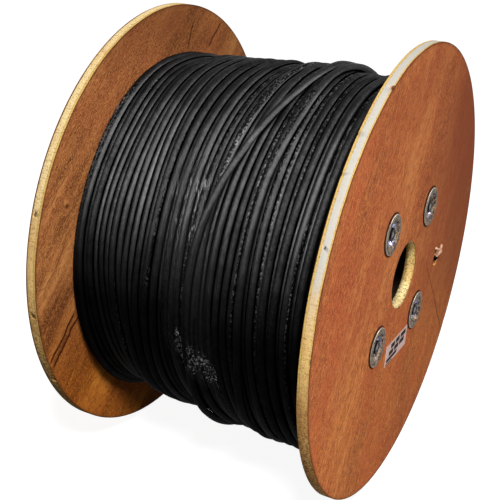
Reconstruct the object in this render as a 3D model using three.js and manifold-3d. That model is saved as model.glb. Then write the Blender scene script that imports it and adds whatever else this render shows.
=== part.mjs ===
// A plywood cable drum, wound full of thin cable and lying on its two rims.
// Millimetres. The drum's axis runs along X, +Z is up, and the floor is Z = 0.
// The origin is on the floor, below the middle of the drum.

import * as THREE from 'three';
import { mergeVertices } from 'three/addons/utils/BufferGeometryUtils.js';
import Module from 'manifold-3d';

// ---------------------------------------------------------------- sizes

// Flanges
const flangeDiameter = 380;
const flangeThickness = 9;
const rimChamfer = 0.6;
const spindleBore = 57;

// Barrel, seated in a groove in each flange
const traverse = 220; // between the flanges' inner faces
const barrelDiameter = 170;
const barrelWall = 5;
const grooveDepth = 2.5;

// Cable
const cableDiameter = 5.5;
const freeboard = 32.5; // from the flange's rim down to the winding's mean surface
const layerRise = 5.3; // from one layer of turns to the next
const startHoleDiameter = 15;
const startHoleInset = 2; // from the barrel's outside to the hole's edge
const startHoleAngle = -18; // degrees from +Y towards +Z
const innerEndStickOut = 3; // beyond the flange's outer face
const innerEndLean = 2.2; // upwards, over that length

// How far the hand-guided lay swells above (+) or sinks below (-) the mean surface,
// from the left flange to the right one, at even steps along the traverse.
const laySwell = [-14, -5, -3, 1, 4, 2, -5.5];

// Tie rods, cup washers and nuts
const rodCount = 4;
const rodAngle = 34.5; // degrees from +Y towards +Z, to the first rod
const rodDiameter = 6;
const rodInset = 9.5; // from the barrel's inside to the rod's outside
const rodEndStickOut = 0.6; // beyond the flange's outer face
const washerDiameter = 33;
const washerSheet = 1.2;
const washerRimWidth = 3.6;
const cupDepth = 6; // from the rim's sheet down to the cup's floor
const cupFloorDiameter = 13.4;
const cupSlopeWidth = 5.4;
const nutAcrossFlats = 10;
const nutHeight = 5;
const nutChamfer = 0.5;

// Clearances
const seatGap = 0.3; // between pieces that rest on each other
const holePlay = 0.35; // around a rod in its hole

// Fineness
const rimSegments = 96;
const turnSegments = 36;
const boreSegments = 48;
const startHoleSegments = 20;
const washerSegments = 16;
const rodSegments = 12;
const innerEndSegments = 10;

// ------------------------------------------------------- derived values

const flangeRadius = flangeDiameter / 2;
const innerFace = traverse / 2;
const outerFace = innerFace + flangeThickness;
const axisHeight = flangeRadius * Math.cos(Math.PI / rimSegments);

const barrelRadius = barrelDiameter / 2;
const barrelBoreRadius = barrelRadius - barrelWall;
const rodRadius = rodDiameter / 2;
const rodCircleRadius = barrelBoreRadius - rodInset - rodRadius;
const startHoleRadius = startHoleDiameter / 2;
const startHoleReach = barrelRadius + startHoleInset + startHoleRadius;

const windingRadius = flangeRadius - freeboard;
const windingBoreRadius = (barrelRadius + seatGap) / Math.cos(Math.PI / turnSegments);
const windingEnd = innerFace - seatGap;
const turnCount = Math.floor((2 * windingEnd) / cableDiameter);

const X_AXIS = new THREE.Vector3(1, 0, 0);

// ------------------------------------------------------------ materials

function finish(color, roughness, metalness) {
  return new THREE.MeshStandardMaterial({ color, roughness, metalness });
}

const plywood = finish(0xb0703c, 0.55, 0);
const fibreBoard = finish(0x8f7450, 0.85, 0);
const blackJacket = finish(0x17181a, 0.4, 0);
const zincSteel = finish(0xb4b0aa, 0.35, 1);

// -------------------------------------------------------- shape helpers

// Turns a closed outline of [radius, x] points about the X axis.
function revolve(outline, segments) {
  const points = outline.map(([radius, x]) => new THREE.Vector2(radius, x));
  points.push(points[0].clone());
  const geometry = new THREE.LatheGeometry(points, segments, Math.PI / segments);
  return geometry.rotateZ(-Math.PI / 2);
}

// A point's place on a circle about the drum's axis.
function onCircle(radius, degrees) {
  const angle = THREE.MathUtils.degToRad(degrees);
  return new THREE.Vector3(0, radius * Math.cos(angle), radius * Math.sin(angle));
}

// The outline parallel to an open line of [radius, x] points, to its left by the offset,
// with its corners mitred.
function parallel(line, offset) {
  const points = line.map(([radius, x]) => new THREE.Vector2(radius, x));
  const normals = points.slice(1).map((point, i) => {
    const along = point.clone().sub(points[i]).normalize();
    return new THREE.Vector2(-along.y, along.x);
  });
  return points.map((point, i) => {
    const before = normals[Math.max(i - 1, 0)];
    const after = normals[Math.min(i, normals.length - 1)];
    const mitre = before.clone().add(after);
    mitre.multiplyScalar((2 * offset) / mitre.lengthSq());
    return [point.x + mitre.x, point.y + mitre.y];
  });
}

// --------------------------------------------------- joining and cutting

const wasm = await Module();
wasm.setup();

function toSolid(geometry) {
  const bare = geometry.clone();
  bare.deleteAttribute('normal');
  bare.deleteAttribute('uv');
  const merged = mergeVertices(bare, 1e-4);
  return new wasm.Manifold(new wasm.Mesh({
    numProp: 3,
    vertProperties: new Float32Array(merged.attributes.position.array),
    triVerts: new Uint32Array(merged.index.array),
  }));
}

function toGeometry(solid) {
  const mesh = solid.getMesh();
  const geometry = new THREE.BufferGeometry();
  geometry.setAttribute('position', new THREE.BufferAttribute(mesh.vertProperties, 3));
  geometry.setIndex(new THREE.BufferAttribute(mesh.triVerts, 1));
  geometry.computeVertexNormals();
  return geometry;
}

// --------------------------------------------------------------- pieces

const drum = new THREE.Group();
drum.position.z = axisHeight;

function addPiece(parent, name, geometry, material) {
  const piece = new THREE.Mesh(geometry, material);
  piece.name = name;
  parent.add(piece);
  return piece;
}

// The middle line of a cup washer's sheet, as [radius, height over the flange's outer face]:
// a flat rim on the wood, then a cone down to the cup's floor.
function washerLine() {
  const rimHeight = seatGap + washerSheet / 2;
  const rimRadius = washerDiameter / 2;
  const floorRadius = cupFloorDiameter / 2;
  const floorHeight = rimHeight - cupDepth;
  return [
    [rodRadius + holePlay, floorHeight],
    [floorRadius, floorHeight],
    [floorRadius + cupSlopeWidth, rimHeight],
    [rimRadius - washerRimWidth / 2, rimHeight],
    [rimRadius, rimHeight],
  ];
}

// The seat that the washer's cup sinks into, and the rod's hole below it, as one cutter
// that stands on the flange's outer face.
function boltHoleCutter() {
  const seat = parallel(washerLine(), -(washerSheet / 2 + seatGap));
  const [floorCorner, mouthCorner] = [seat[1], seat[2]];
  const slope = (mouthCorner[0] - floorCorner[0]) / (mouthCorner[1] - floorCorner[1]);
  const above = 1;
  const mouthRadius = floorCorner[0] + slope * (above - floorCorner[1]);
  const holeRadius = rodRadius + holePlay;
  return revolve([
    [0, -flangeThickness - above],
    [holeRadius, -flangeThickness - above],
    [holeRadius, floorCorner[1]],
    floorCorner,
    [mouthRadius, above],
    [0, above],
  ], washerSegments);
}

// A round hole along X through a flange whose outer face is at x = 0.
function holeCutter(radius, place, segments) {
  const length = 3 * flangeThickness;
  const cutter = new THREE.CylinderGeometry(radius, radius, length, segments);
  return toSolid(cutter.rotateZ(Math.PI / 2).translate(place.x, place.y, place.z));
}

// The groove in a flange's inner face that the barrel's end seats in.
function grooveCutter() {
  const floor = grooveDepth + seatGap - flangeThickness;
  const below = -2 * flangeThickness;
  return toSolid(revolve([
    [barrelBoreRadius - seatGap, floor],
    [barrelBoreRadius - seatGap, below],
    [barrelRadius + seatGap, below],
    [barrelRadius + seatGap, floor],
  ], boreSegments));
}

// One flange, with its outer face at x = 0 and its inner face at x = -flangeThickness.
function flangeGeometry(boltAngles, hasStartHole) {
  const innerX = -flangeThickness;
  const disc = revolve([
    [0, 0],
    [0, innerX],
    [flangeRadius - rimChamfer, innerX],
    [flangeRadius, innerX + rimChamfer],
    [flangeRadius, -rimChamfer],
    [flangeRadius - rimChamfer, 0],
  ], rimSegments);
  let solid = toSolid(disc);
  solid = solid.subtract(grooveCutter());
  solid = solid.subtract(holeCutter(spindleBore / 2, new THREE.Vector3(), boreSegments));
  const boltHole = toSolid(boltHoleCutter());
  for (const angle of boltAngles) {
    const place = onCircle(rodCircleRadius, angle);
    solid = solid.subtract(boltHole.translate(place.x, place.y, place.z));
  }
  if (hasStartHole) {
    const place = onCircle(startHoleReach, startHoleAngle);
    solid = solid.subtract(holeCutter(startHoleRadius, place, startHoleSegments));
  }
  return toGeometry(solid);
}

function barrelGeometry() {
  const end = innerFace + grooveDepth;
  return revolve([
    [barrelBoreRadius, -end],
    [barrelRadius, -end],
    [barrelRadius, end],
    [barrelBoreRadius, end],
  ], boreSegments);
}

// The wound cable: one ring whose outside and two ends are scalloped by the turns. The crests
// are the cables' own tops, and the valleys lie where one cable touches the next.
function windingGeometry() {
  const valleyDepth = cableDiameter / 2;
  const swell = new THREE.SplineCurve(laySwell.map((rise, i) => (
    new THREE.Vector2((i / (laySwell.length - 1) - 0.5) * 2 * windingEnd, rise)
  )));
  const surfaceAt = (share) => windingRadius + swell.getPoint(share).y;

  const outline = [[windingBoreRadius, windingEnd], [windingBoreRadius, -windingEnd]];
  const layersAt = (share) => Math.floor((surfaceAt(share) - windingBoreRadius) / layerRise);
  const endRidges = (side, layers) => {
    const ridges = [];
    for (let layer = 0; layer < layers; layer += 1) {
      const crest = windingBoreRadius + (layer + 0.5) * layerRise;
      ridges.push([crest, side * windingEnd]);
      ridges.push([crest + layerRise / 2, side * (windingEnd - valleyDepth)]);
    }
    return ridges;
  };

  outline.push(...endRidges(-1, layersAt(0)));
  for (let turn = 0; turn < turnCount; turn += 1) {
    const crestShare = (turn + 0.5) / turnCount;
    const x = (crestShare - 0.5) * 2 * windingEnd;
    outline.push([surfaceAt(crestShare), x]);
    if (turn < turnCount - 1) {
      const valleyShare = (turn + 1) / turnCount;
      outline.push([surfaceAt(valleyShare) - valleyDepth, (valleyShare - 0.5) * 2 * windingEnd]);
    }
  }
  outline.push(...endRidges(1, layersAt(1)).reverse());
  return revolve(outline, turnSegments);
}

// The cable's start: straight through its hole, then leaning upwards.
function innerEndGeometry() {
  const start = onCircle(startHoleReach, startHoleAngle);
  const route = new THREE.CatmullRomCurve3([
    new THREE.Vector3(innerFace, start.y, start.z),
    new THREE.Vector3(outerFace - innerEndStickOut, start.y, start.z),
    new THREE.Vector3(outerFace + innerEndStickOut, start.y, start.z + innerEndLean),
  ]);
  const section = new THREE.Shape();
  section.absarc(0, 0, cableDiameter / 2, 0, 2 * Math.PI, false);
  return new THREE.ExtrudeGeometry(section, {
    curveSegments: innerEndSegments / 2,
    steps: 6,
    extrudePath: route,
  });
}

function washerGeometry() {
  const line = washerLine();
  const top = parallel(line, washerSheet / 2);
  const underside = parallel(line, -washerSheet / 2);
  return revolve([...underside, ...top.reverse()], washerSegments);
}

function nutGeometry() {
  const corner = nutAcrossFlats / Math.sqrt(3);
  const hexagon = new THREE.Shape();
  for (let i = 0; i < 6; i += 1) {
    const angle = (i * Math.PI) / 3;
    hexagon[i === 0 ? 'moveTo' : 'lineTo'](corner * Math.cos(angle), corner * Math.sin(angle));
  }
  hexagon.closePath();
  const hole = new THREE.Path();
  hole.absarc(0, 0, rodRadius + holePlay, 0, 2 * Math.PI, true);
  hexagon.holes.push(hole);
  const nut = new THREE.ExtrudeGeometry(hexagon, {
    depth: nutHeight - 2 * nutChamfer,
    curveSegments: rodSegments / 2,
    bevelEnabled: true,
    bevelThickness: nutChamfer,
    bevelSize: nutChamfer,
    bevelOffset: -nutChamfer,
    bevelSegments: 1,
  });
  return nut.translate(0, 0, nutChamfer).rotateY(Math.PI / 2);
}

function rodGeometry() {
  const length = 2 * (outerFace + rodEndStickOut);
  return new THREE.CylinderGeometry(rodRadius, rodRadius, length, rodSegments).rotateZ(Math.PI / 2);
}

// ------------------------------------------------------------- assembly

const rodAngles = Array.from({ length: rodCount }, (_, i) => rodAngle + (i * 360) / rodCount);

// Each end is built facing +X. The left one is then turned round, which mirrors its angles.
for (const side of ['left', 'right']) {
  const facesRight = side === 'right';
  const end = new THREE.Group();
  end.position.x = facesRight ? outerFace : -outerFace;
  end.rotation.z = facesRight ? 0 : Math.PI;
  drum.add(end);
  const boltAngles = rodAngles.map((angle) => (facesRight ? angle : 180 - angle));
  addPiece(end, `flange_${side}`, flangeGeometry(boltAngles, facesRight), plywood);
  const cupFloorTop = washerLine()[0][1] + washerSheet / 2;
  boltAngles.forEach((angle, i) => {
    const place = onCircle(rodCircleRadius, angle);
    const washer = addPiece(end, `cup_washer_${side}_${i + 1}`, washerGeometry(), zincSteel);
    washer.position.copy(place);
    const nut = addPiece(end, `nut_${side}_${i + 1}`, nutGeometry(), zincSteel);
    nut.position.copy(place).addScaledVector(X_AXIS, cupFloorTop + seatGap);
    nut.rotation.x = THREE.MathUtils.degToRad(angle);
  });
}

rodAngles.forEach((angle, i) => {
  const rod = addPiece(drum, `tie_rod_${i + 1}`, rodGeometry(), zincSteel);
  rod.position.copy(onCircle(rodCircleRadius, angle));
});

addPiece(drum, 'barrel', barrelGeometry(), fibreBoard);
addPiece(drum, 'cable_winding', windingGeometry(), blackJacket);
addPiece(drum, 'cable_inner_end', innerEndGeometry(), blackJacket);

export default drum;
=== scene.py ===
import math

import bmesh
import bpy
import numpy as np
from mathutils import Matrix, Vector, noise


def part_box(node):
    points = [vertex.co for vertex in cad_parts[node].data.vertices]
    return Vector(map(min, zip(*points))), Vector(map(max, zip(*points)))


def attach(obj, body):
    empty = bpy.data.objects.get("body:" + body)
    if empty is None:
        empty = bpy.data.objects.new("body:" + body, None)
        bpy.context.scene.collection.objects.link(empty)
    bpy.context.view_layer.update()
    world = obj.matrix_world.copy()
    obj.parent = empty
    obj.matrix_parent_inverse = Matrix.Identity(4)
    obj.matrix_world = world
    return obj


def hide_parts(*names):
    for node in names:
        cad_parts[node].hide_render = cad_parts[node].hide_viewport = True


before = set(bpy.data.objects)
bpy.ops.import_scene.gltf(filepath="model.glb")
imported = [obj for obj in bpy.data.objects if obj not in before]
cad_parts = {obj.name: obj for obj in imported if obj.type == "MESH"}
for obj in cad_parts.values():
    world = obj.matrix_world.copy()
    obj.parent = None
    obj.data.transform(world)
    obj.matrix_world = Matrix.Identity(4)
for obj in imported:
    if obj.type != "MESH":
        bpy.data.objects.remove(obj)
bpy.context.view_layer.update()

# -------------------- sizes
# Metres and degrees. The drum's axis runs along X at AXIS_Z, and the floor is z = 0. Angles
# round the drum start at Y and rise towards Z.

MM = 0.001

RIGHT_LOW, RIGHT_HIGH = (Vector(corner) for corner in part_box("flange_right"))
AXIS_Z = (RIGHT_LOW.z + RIGHT_HIGH.z) / 2
DRUM_MIDDLE = Vector((0, 0, AXIS_Z))
FLANGE_RADIUS = AXIS_Z
FLANGE_THICKNESS = RIGHT_HIGH.x - RIGHT_LOW.x
OUTER_FACE = RIGHT_HIGH.x
INNER_FACE = RIGHT_LOW.x
FLANGE_MIDDLE = (OUTER_FACE + INNER_FACE) / 2
RIM_CHAMFER = 0.5 * MM
RIM_SEGMENTS = 288

SPINDLE_BORE_RADIUS = 28.5 * MM
ROD_COUNT = 4
ROD_CIRCLE_RADIUS = 67.5 * MM
ROD_ANGLE = 34.5
ROD_ANGLES = [ROD_ANGLE + 360 * i / ROD_COUNT for i in range(ROD_COUNT)]
ROD_RADIUS = 3 * MM
ROD_PLAY = 0.35 * MM
ROD_CHAMFER = 0.7 * MM
THREAD_PITCH = 1 * MM

WASHER_RADIUS = 16.5 * MM
WASHER_LIP = 1.8 * MM
WASHER_EDGE = 0.5 * MM
WASHER_SHEET = 1.2 * MM
WASHER_SEAT_GAP = 0.3 * MM
WASHER_HOLE_PLAY = 0.3 * MM
CUP_DEPTH = 6 * MM
CUP_FLOOR_RADIUS = 6.7 * MM
CUP_SLOPE_WIDTH = 5.4 * MM

NUT_ACROSS_FLATS = 10 * MM
NUT_HEIGHT = 5 * MM
NUT_HOLE_PLAY = 0.2 * MM
NUT_EDGE = 0.45 * MM
NUT_TURN = 37

START_HOLE_RADIUS = 7.5 * MM
START_HOLE_REACH = 94.5 * MM
START_HOLE_ANGLE = -18

CABLE_RADIUS = 2.75 * MM
CABLE_DIAMETER = 2 * CABLE_RADIUS
WINDING_RADIUS = 157.5 * MM

LABEL_SIZE = (52 * MM, 19 * MM)
LABEL_PLACE = (-6 * MM, -67 * MM)
LABEL_TILT = -7.5
LABEL_THICKNESS = 0.15 * MM
LABEL_LIFT = 0.12 * MM


# -------------------- camera

CAMERA_AZIMUTH = 27.41
CAMERA_ELEVATION = 29.1
CAMERA_DISTANCE = 0.8874
CAMERA_SLIDE = (-0.0213, -0.0063)
CAMERA_LENS = 73.37
CAMERA_SENSOR = 36


def make_camera():
    """A camera that faces the middle of the drum's axis, slid a little in its own plane."""
    data = bpy.data.cameras.new("camera")
    data.lens = CAMERA_LENS
    data.sensor_width = CAMERA_SENSOR
    camera = bpy.data.objects.new("camera", data)
    turn = Matrix.Rotation(math.radians(CAMERA_AZIMUTH), 4, "Z")
    tilt = Matrix.Rotation(math.radians(90 - CAMERA_ELEVATION), 4, "X")
    back = Matrix.Translation((*CAMERA_SLIDE, CAMERA_DISTANCE))
    camera.matrix_world = Matrix.Translation(DRUM_MIDDLE) @ turn @ tilt @ back
    bpy.context.scene.collection.objects.link(camera)
    bpy.context.scene.camera = camera


make_camera()


# -------------------- material writing

def srgb(red, green, blue):
    """A colour given in 0 to 255 steps, as the linear colour that a shader takes."""
    steps = [value / 255 for value in (red, green, blue)]
    linear = [v / 12.92 if v <= 0.04045 else ((v + 0.055) / 1.055) ** 2.4 for v in steps]
    return (*linear, 1)


def sign(operation, reflected=False):
    """A method that adds a Math node for one sign of arithmetic."""
    def method(value, *others):
        terms = (*others, value) if reflected else (value, *others)
        return value.finish.math(operation, *terms)
    return method


class Value:
    """A node's output. Arithmetic on it adds Math nodes."""

    __add__ = __radd__ = sign("ADD")
    __mul__ = __rmul__ = sign("MULTIPLY")
    __sub__ = sign("SUBTRACT")
    __rsub__ = sign("SUBTRACT", reflected=True)
    __truediv__ = sign("DIVIDE")
    __abs__ = sign("ABSOLUTE")
    __lt__ = sign("LESS_THAN")
    __gt__ = sign("GREATER_THAN")

    def __init__(self, finish, socket):
        self.finish = finish
        self.socket = socket

    def clipped(self):
        """The value, held between 0 and 1."""
        return self.finish.math("ADD", self, 0, clamp=True)

    def between(self, low, high):
        """0 at low and 1 at high, with a smooth step between; low may be above high."""
        inputs = {0: self, 1: low, 2: high}
        return self.finish.node("ShaderNodeMapRange", inputs, interpolation_type="SMOOTHSTEP")


class Finish:
    """A node material, written as expressions on its values."""

    def __init__(self, name):
        self.material = bpy.data.materials.new(name)
        self.material.use_nodes = True
        self.tree = self.material.node_tree
        self.surface = self.tree.nodes["Principled BSDF"]
        self.output = self.tree.nodes["Material Output"]
        self.coordinates = self.outputs("ShaderNodeTexCoord", {})

    def node(self, kind, inputs, output=0, stops=(), **settings):
        """One output of a new node, which gets its settings or stops and then its inputs."""
        made = self.tree.nodes.new(kind)
        for name, setting in settings.items():
            setattr(made, name, setting)
        for i, (position, color) in enumerate(stops):
            elements = made.color_ramp.elements
            element = elements[i] if i < len(elements) else elements.new(position)
            element.position = position
            element.color = color
        self.connect(made, inputs)
        return Value(self, made.outputs[output])

    def outputs(self, kind, inputs):
        """All the outputs of a new node, by their names."""
        made = self.node(kind, inputs).socket.node
        return {socket.name: Value(self, socket) for socket in made.outputs}

    def connect(self, node, inputs):
        for key, given in inputs.items():
            if isinstance(given, Value):
                self.tree.links.new(given.socket, node.inputs[key])
            else:
                node.inputs[key].default_value = given

    def surfaced(self, **sockets):
        """The material, once its shader's sockets are set; underscores stand for spaces."""
        self.connect(self.surface, {key.replace("_", " "): given for key, given in sockets.items()})
        return self.material

    def show(self, shader):
        """Puts another shader on the surface in the place of the plain one."""
        self.tree.links.new(shader.socket, self.output.inputs["Surface"])

    def math(self, operation, *terms, clamp=False):
        inputs = dict(enumerate(terms))
        return self.node("ShaderNodeMath", inputs, operation=operation, use_clamp=clamp)

    def vector(self, operation, *terms):
        return self.node("ShaderNodeVectorMath", dict(enumerate(terms)), operation=operation)

    def place(self, move=(0, 0, 0), turn=(0, 0, 0)):
        """Object coordinates, moved and then turned in degrees."""
        moved = self.vector("ADD", self.coordinates["Object"], move)
        turned = [math.radians(angle) for angle in turn]
        return self.node("ShaderNodeMapping", {"Vector": moved, "Rotation": turned})

    def split(self, vector):
        return self.outputs("ShaderNodeSeparateXYZ", {0: vector}).values()

    def join(self, *parts):
        return self.node("ShaderNodeCombineXYZ", dict(enumerate(parts)))

    def noise(self, place, detail=2, roughness=0.5, distortion=0, scale=1):
        """Smooth noise at a place, which is a vector or its three parts."""
        inputs = {
            "Vector": self.join(*place) if isinstance(place, tuple) else place, "Scale": scale,
            "Detail": detail, "Roughness": roughness, "Distortion": distortion,
        }
        return self.node("ShaderNodeTexNoise", inputs)

    def ramp(self, value, *stops):
        return self.node("ShaderNodeValToRGB", {0: value}, stops=stops)

    def mix(self, factor, first, second, blend="MIX"):
        inputs = {0: factor, 6: first, 7: second}
        return self.node("ShaderNodeMix", inputs, 2, data_type="RGBA", blend_type=blend)

    def coated(self, color, *coats):
        """A colour under further ones, each given with how far it covers what is below."""
        for cover, tint in coats:
            color = self.mix(cover, color, tint)
        return color

    def bump(self, height, strength, distance, normal=None):
        inputs = {"Height": height, "Strength": strength, "Distance": distance}
        if normal:
            inputs["Normal"] = normal
        return self.node("ShaderNodeBump", inputs)


# -------------------- finishes

def distance(finish, across, up):
    return finish.math("SQRT", across * across + up * up)


def from_axis(finish):
    """A point's x, y and z from the middle of the drum's axis, and its radius and angle about it."""
    x, y, z = finish.split(finish.place(-DRUM_MIDDLE))
    return x, y, z, distance(finish, y, z), finish.math("ARCTAN2", z, y)


def from_rods(finish, radius, angle):
    """The distance from the nearest tie rod's axis."""
    share = (angle - math.radians(ROD_ANGLE)) * (ROD_COUNT / (2 * math.pi)) + 0.5
    swing = abs(finish.math("FRACT", share) - 0.5) * (2 * math.pi / ROD_COUNT)
    out = radius * finish.math("COSINE", swing) - ROD_CIRCLE_RADIUS
    return distance(finish, out, radius * finish.math("SINE", swing))


def by_line(y, z, start, end):
    """How far a point is along a line in millimetres from the axis and off it, and its length."""
    start, end = Vector(start) * MM, Vector(end) * MM
    length = (end - start).length
    dy, dz = (end - start) / length
    run = (y - start.x) * dy + (z - start.y) * dz
    off = (z - start.y) * dy - (y - start.x) * dz
    return run, off, length


def scratch(finish, y, z, start, end, width):
    """A thin uneven line on a face."""
    run, off, length = by_line(y, z, start, end)
    bend = (finish.noise((run * 60, start[0] * 0.09, 0)) - 0.5) * (6 * MM)
    inside = run.between(-2 * MM, 4 * MM) * run.between(length + 2 * MM, length - 4 * MM)
    return abs(off + bend).between(width * MM, width * 0.3 * MM) * inside


def fade(finish, y, z, start, end, reach):
    """1 on a line on a face, and 0 at a reach from it."""
    run, off, length = by_line(y, z, start, end)
    past = finish.math("MAXIMUM", abs(run - length / 2) - length / 2, 0)
    return distance(finish, off, past).between(reach * MM, 0)


# The veneers' grain, from clouds to spots: how fine each noise is along and across it, its
# place in the third direction, its detail and its roughness.
GRAIN = (
    (5, 15, 0.3, 3, 0.5), (9, 70, 1.7, 3, 0.6), (130, 330, 8.8, 3, 0.65), (300, 760, 4.1, 2, 0.6),
    (230, 1000, 12.5, 1, 0.5), (4, 11, 5.5, 3, 0.55), (34, 80, 9.9, 3, 0.6),
)


def veneer_finish(name, grain_angle, tones, shift, streaks, lines, shades, low_tint_and_painted_light, knots=()):
    """Rotary-cut reddish veneer: soft clouds of tone, flecks and short dark pores on the grain."""
    finish = Finish(name)
    _, y, z, radius, angle = from_axis(finish)
    turned = finish.place((0, shift, shift - AXIS_Z), (-grain_angle, 0, 0))
    _, along, across = finish.split(turned)
    sway = finish.noise((along * 5, across * 7, shift)) - 0.5
    knots = [
        (distance(finish, y - knot_y * MM, z - knot_z * MM), size * MM)
        for knot_y, knot_z, size in knots
    ]
    for gap, size in knots:
        sway = sway + (1 - gap.between(size, size * 5)) * 0.35
    bent = across + sway * 0.035
    clouds, figure, mottle, flecks, pores, blush, spots = (
        finish.noise((along * lengthwise, bent * crosswise, seed), detail, roughness)
        for lengthwise, crosswise, seed, detail, roughness in GRAIN
    )
    sand = finish.noise((0, y * 820, z * 820), 2, 0.7)
    light, middle, dark, red = tones
    tone = clouds * 0.34 + figure * streaks + mottle * (0.46 - streaks) + sand * 0.2
    reddened = blush.between(0.47, 0.6) * 0.6 + spots.between(0.52, 0.66) * 0.4
    color = finish.coated(
        finish.ramp(tone, (0.41, dark), (0.5, middle), (0.585, light)),
        (reddened.clipped(), red),
        (flecks.between(0.52, 0.64) * 0.5, light),
        (pores.between(0.55, 0.66) * 0.55, srgb(96, 46, 22)),
        (sand.between(0.54, 0.64) * 0.5, light),
    )
    # Darker parts from the table; the broad one on the right board's far side is painted shade.
    for start, end, reach, strength in shades:
        near = fade(finish, y, z, start, end, reach) + (clouds - 0.5) * 0.8
        color = finish.mix(near.clipped() * strength, color, dark)
    # The low side's tint: on the right board a painted light that makes it paler, on the left a warmer
    # colour with painted light in its red.
    color = finish.mix(z.between(0.03, -0.1), color, low_tint_and_painted_light, "MULTIPLY")
    # A painted shadow in a thin ring round each washer.
    washer_shadow_gap = from_rods(finish, radius, angle) - WASHER_RADIUS
    worn = (radius + (mottle - 0.5) * (6 * MM)).between(FLANGE_RADIUS - 4 * MM, FLANGE_RADIUS)
    corner = radius.between(FLANGE_RADIUS - 1.4 * MM, FLANGE_RADIUS - 0.6 * MM)
    color = finish.coated(
        color,
        (washer_shadow_gap.between(2.2 * MM, 0.8 * MM) * 0.9, srgb(30, 14, 7)),
        (worn * 0.35, srgb(96, 52, 30)),
        (corner * 0.6, srgb(60, 32, 18)),
    )
    height = flecks * 0.4 + mottle * 0.3 - pores.between(0.58, 0.68) * 0.8
    for start, end, width, strength in lines:
        mark = scratch(finish, y, z, start, end, width) * strength
        color = finish.mix(mark, color, srgb(66, 28, 14))
        height = height - mark
    for gap, size in knots:
        color = finish.mix(gap.between(size * 1.6, size * 0.4) * 0.8, color, srgb(70, 32, 16))
    return finish.surfaced(
        Base_Color=color,
        Roughness=0.58 + flecks * 0.2,
        Specular_IOR_Level=0.02,
        Normal=finish.bump(height, 0.8, 0.3 * MM),
    )


def ply_edge_finish():
    """The sawn edge of five-ply board, its layers told apart by the depth from the faces."""
    finish = Finish("ply_edge")
    x, _, z, radius, angle = from_axis(finish)
    around = angle * radius
    fibre = finish.noise((x * 900, around * 70, radius * 90), 3, 0.6)
    ends = finish.noise((x * 1300, around * 700, radius * 700), 2, 0.6)
    patches = finish.noise((x * 60, around * 22, radius * 20), 3, 0.55)
    saw = finish.noise((x * 170, around * 820, radius * 90), 3, 0.7, 0.8)
    crumbs = finish.noise((x * 560, around * 560, 3.7), 3, 0.7)
    wander = (finish.noise((around * 45, 0, radius * 9)) - 0.5) * (0.9 * MM)
    depth = (abs(x) + wander - INNER_FACE) / FLANGE_THICKNESS
    from_middle = abs(depth - 0.54)
    left = x < 0
    rim = radius > FLANGE_RADIUS - 5 * MM
    bored = radius < ROD_CIRCLE_RADIUS
    drilled = (radius > ROD_CIRCLE_RADIUS) * (radius < FLANGE_RADIUS - 20 * MM)
    turned = angle + (patches - 0.5) * 0.5
    # Painted highlight: the upper part of the right rim is paler and greyer, and shows less grain.
    painted_rim_highlight = turned.between(math.radians(168), math.radians(150)) * (angle > 0.6) * (x > 0)
    core_ply = finish.coated(
        srgb(188, 156, 98),
        (painted_rim_highlight * rim, srgb(158, 154, 146)),
        (left * 0.8, srgb(216, 176, 108)),
        # Painted light: the upper part of the left rim is paler.
        (z.between(-0.02, 0.12) * left * 0.8, srgb(196, 178, 134)),
    )
    crossed = (from_middle + (saw - 0.5) * 0.12).between(0.25, 0.33)
    faced = (depth + left * 0.1).between(0.92, 0.96) + depth.between(0.06, 0.03)
    glue_line = 1 - abs(from_middle - 0.32).between(0.01, 0.03)
    rough = bored * crumbs.between(0.56 - from_middle * 0.2, 0.62 - from_middle * 0.2)
    open_grain = ends.between(0.54, 0.66) * (1 - painted_rim_highlight * from_middle.between(0.3, 0.24))
    splits = fibre.between(0.64, 0.7) * from_middle.between(0.28, 0.22)
    sawn = saw.between(0.52, 0.64) * (1 - painted_rim_highlight * 0.75) * (1 - bored)
    # Darker and browner low on the rims: soil, with painted shade in it.
    low_side = z.between(0.06, -0.07) * rim
    soil_and_painted_shade = low_side * (0.25 + (x > 0) * 0.2 + patches.between(0.4, 0.6) * 0.4)
    by_stain = abs(angle - math.radians(STAIN_ANGLE)) * FLANGE_RADIUS + (patches - 0.5) * (8 * MM)
    outer_half = x.between(INNER_FACE + 5 * MM, INNER_FACE + 7 * MM)
    stained = by_stain.between(3.5 * MM, 1.5 * MM) * outer_half
    chipped = radius.between(FLANGE_RADIUS - 0.25 * MM, FLANGE_RADIUS - 0.6 * MM) * rim
    color = finish.coated(
        core_ply,
        (crossed, srgb(178, 150, 88)),
        (faced, srgb(92, 52, 30)),
        (patches.between(0.42, 0.66) * 0.4 * (1 - painted_rim_highlight), srgb(168, 126, 68)),
        (glue_line * 0.4, srgb(140, 100, 52)),
        (bored * patches.between(0.4, 0.6), srgb(214, 196, 142)),
        (rough * 0.75, srgb(110, 84, 42)),
        (drilled * 0.8, srgb(204, 132, 76)),
        (open_grain * 0.55, srgb(104, 70, 36)),
        (splits * 0.35, srgb(150, 116, 70)),
        (sawn * 0.42, srgb(112, 72, 36)),
        (soil_and_painted_shade, srgb(150, 104, 58)),
        (low_side * crumbs.between(0.48, 0.55) * 0.8, srgb(84, 54, 30)),
        (stained * 0.8, srgb(150, 76, 38)),
        (chipped * 0.8, srgb(44, 26, 14)),
    )
    return finish.surfaced(
        Base_Color=color,
        Roughness=0.78,
        Specular_IOR_Level=0.03,
        Normal=finish.bump(fibre + patches * 0.5 - open_grain * 0.8, 0.7, 0.35 * MM),
    )


def flattened(finish, x, y, z, share):
    """The surface's normal, drawn towards straight out from the drum's axis on the winding."""
    outward = finish.vector("NORMALIZE", finish.join(0, y, z))
    inputs = {0: (x < INNER_FACE) * share, 4: finish.coordinates["Normal"], 5: outward}
    return finish.vector("NORMALIZE", finish.node("ShaderNodeMix", inputs, 1, data_type="VECTOR"))


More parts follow.
